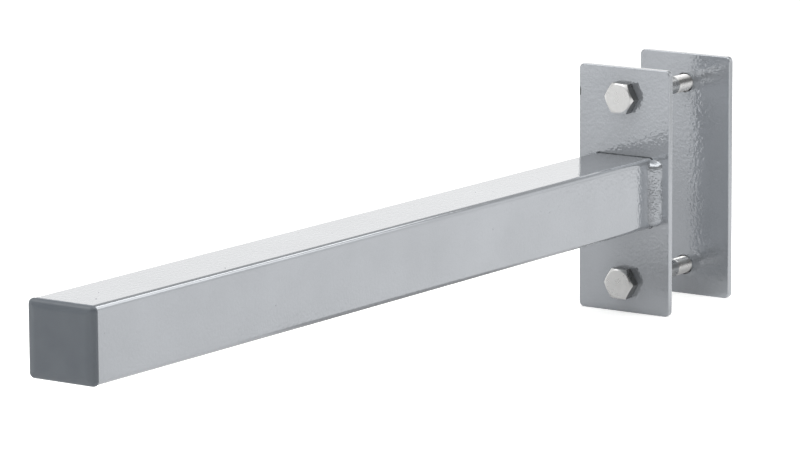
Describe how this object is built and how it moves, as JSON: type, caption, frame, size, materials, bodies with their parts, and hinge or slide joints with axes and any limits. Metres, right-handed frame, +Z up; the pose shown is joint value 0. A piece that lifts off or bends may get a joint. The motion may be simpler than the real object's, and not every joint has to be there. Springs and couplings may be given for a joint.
{
  "type": "storage rack divider arm",
  "caption": "Square tube arm, capped at its free end and welded to an upright plate, which bolts to a loose clamp plate across a rack upright.",
  "frame": {"origin": "middle of the front plate's rack-side face, on the arm's centre line", "axes": "+Y out of that face towards the clamp plate, the arm runs towards -Y, +Z up"},
  "size_m": [0.06, 0.584, 0.14],
  "materials": {
    "silver_coating": "silver grey gloss powder coating with a fine orange peel",
    "cap_plastic": "moulded dark grey polyethylene, satin",
    "zinc_plate": "bright zinc-plated steel"
  },
  "bodies": {
    "root": {"arm_tube": "silver_coating", "end_cap": "cap_plastic", "front_plate": "silver_coating", "clamp_plate": "silver_coating", "weld_bead_left": "silver_coating", "weld_bead_right": "silver_coating", "hex_bolt_upper": "zinc_plate", "hex_bolt_lower": "zinc_plate", "washer_upper": "zinc_plate", "washer_lower": "zinc_plate", "hex_nut_upper": "zinc_plate", "hex_nut_lower": "zinc_plate"}
  },
  "joints": []
}
